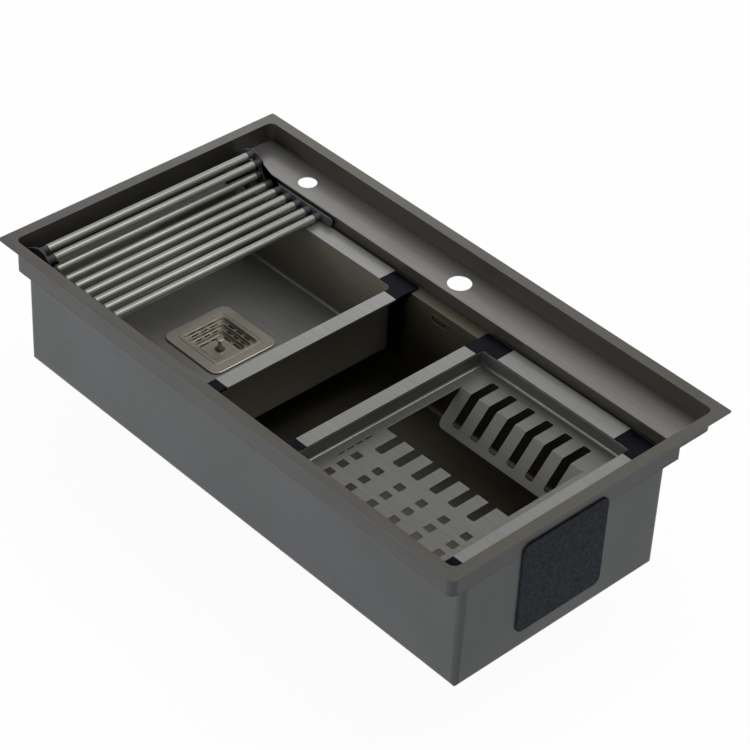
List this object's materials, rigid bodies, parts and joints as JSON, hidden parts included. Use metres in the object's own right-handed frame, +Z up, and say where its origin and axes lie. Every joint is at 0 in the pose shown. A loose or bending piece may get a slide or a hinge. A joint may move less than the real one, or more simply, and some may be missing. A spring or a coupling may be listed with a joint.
{
  "type": "workstation kitchen sink",
  "caption": "Long top-mounted kitchen sink with a tap deck, lift-out tub, sliding dish tray with plate slots and a roll-up rack.",
  "frame": {"origin": "middle of the rim's underside, in the plane of the worktop", "axes": "+X along the sink from the tub to the tray, +Y from the user to the wall, +Z up"},
  "size_m": [0.9, 0.5, 0.301],
  "materials": {
    "gunmetal_steel": "brushed, dark coated",
    "bowl_steel": "satin, dark coated",
    "bronze_steel": "brushed, warm dark coat",
    "tube_steel": "satin",
    "black_plastic": "satin",
    "grey_silicone": "matt",
    "black_rubber": "matt",
    "red_rubber": "matt",
    "grey_plastic": "moulded",
    "felt": "pressed felt"
  },
  "bodies": {
    "shell": {"rim_frame": "gunmetal_steel", "tap_deck": "gunmetal_steel", "bowl": "bowl_steel", "sound_pad_left": "felt", "sound_pad_right": "felt", "sound_pads_bottom": "felt", "overflow_bezel": "gunmetal_steel", "overflow_gasket": "black_rubber", "overflow_box": "grey_plastic", "waste_body": "bowl_steel", "waste_gasket": "black_rubber", "waste_slip_ring": "grey_plastic", "waste_locknut": "grey_plastic"},
    "waste_basket": {"waste_basket": "bronze_steel", "waste_basket_knob": "gunmetal_steel", "waste_stopper": "black_rubber"},
    "tub": {"tub": "gunmetal_steel", "tub_bracket_rear_right": "black_plastic", "tub_bracket_front_right": "black_plastic", "tub_bracket_rear_left": "black_plastic", "tub_bracket_front_left": "black_plastic", "drain_bezel_gasket": "black_rubber", "drain_sump": "bronze_steel", "drain_clamp_gasket": "black_rubber", "drain_clamp": "bronze_steel", "drain_clamp_screws": "gunmetal_steel"},
    "strainer": {"drain_strainer": "bronze_steel", "strainer_knob": "bronze_steel", "strainer_knob_washer": "red_rubber"},
    "tray": {"dish_tray": "gunmetal_steel", "tray_bracket_rear_right": "black_plastic", "tray_bracket_front_right": "black_plastic", "tray_bracket_rear_left": "black_plastic", "tray_bracket_front_left": "black_plastic"},
    "rack": {"rack_strip_rear": "grey_silicone", "rack_strip_front": "grey_silicone", "rack_tube_4": "tube_steel", "rack_tube_5": "tube_steel", "rack_tube_6": "tube_steel", "rack_tube_7": "tube_steel", "rack_tube_8": "tube_steel", "rack_tube_9": "tube_steel"},
    "rack_roll_3": {"rack_link_3": "grey_silicone", "rack_tube_3": "tube_steel"},
    "rack_roll_2": {"rack_link_2": "grey_silicone", "rack_tube_2": "tube_steel"},
    "rack_roll_1": {"rack_link_1": "grey_silicone", "rack_tube_1": "tube_steel"}
  },
  "joints": [
    {"name": "waste_basket_lift", "type": "slide", "parent": "shell", "child": "waste_basket", "axis": [0, 0, 1], "range_m": [0, 0.02]},
    {"name": "tub_lift", "type": "slide", "parent": "shell", "child": "tub", "axis": [0, 0, 1], "range_m": [0, 0.18]},
    {"name": "strainer_lift", "type": "slide", "parent": "tub", "child": "strainer", "axis": [0, 0, 1], "range_m": [0, 0.08]},
    {"name": "tray_slide", "type": "slide", "parent": "shell", "child": "tray", "axis": [1, 0, 0], "range_m": [-0.12, 0.022]},
    {"name": "rack_slide", "type": "slide", "parent": "tub", "child": "rack", "axis": [1, 0, 0], "range_m": [0, 0.12]},
    {"name": "rack_roll_a", "type": "hinge", "parent": "rack", "child": "rack_roll_3", "pos_m": [-0.3038, 0, -0.0297], "axis": [0, -1, 0], "range_deg": [0, 60]},
    {"name": "rack_roll_b", "type": "hinge", "parent": "rack_roll_3", "child": "rack_roll_2", "pos_m": [-0.2826, 0, -0.0297], "axis": [0, -1, 0], "range_deg": [0, 60]},
    {"name": "rack_roll_c", "type": "hinge", "parent": "rack_roll_2", "child": "rack_roll_1", "pos_m": [-0.2614, 0, -0.0297], "axis": [0, -1, 0], "range_deg": [0, 60]}
  ],
  "couplings": [
    {"joint": "rack_roll_b", "follows": "rack_roll_a", "ratio": 1},
    {"joint": "rack_roll_c", "follows": "rack_roll_a", "ratio": 1}
  ]
}
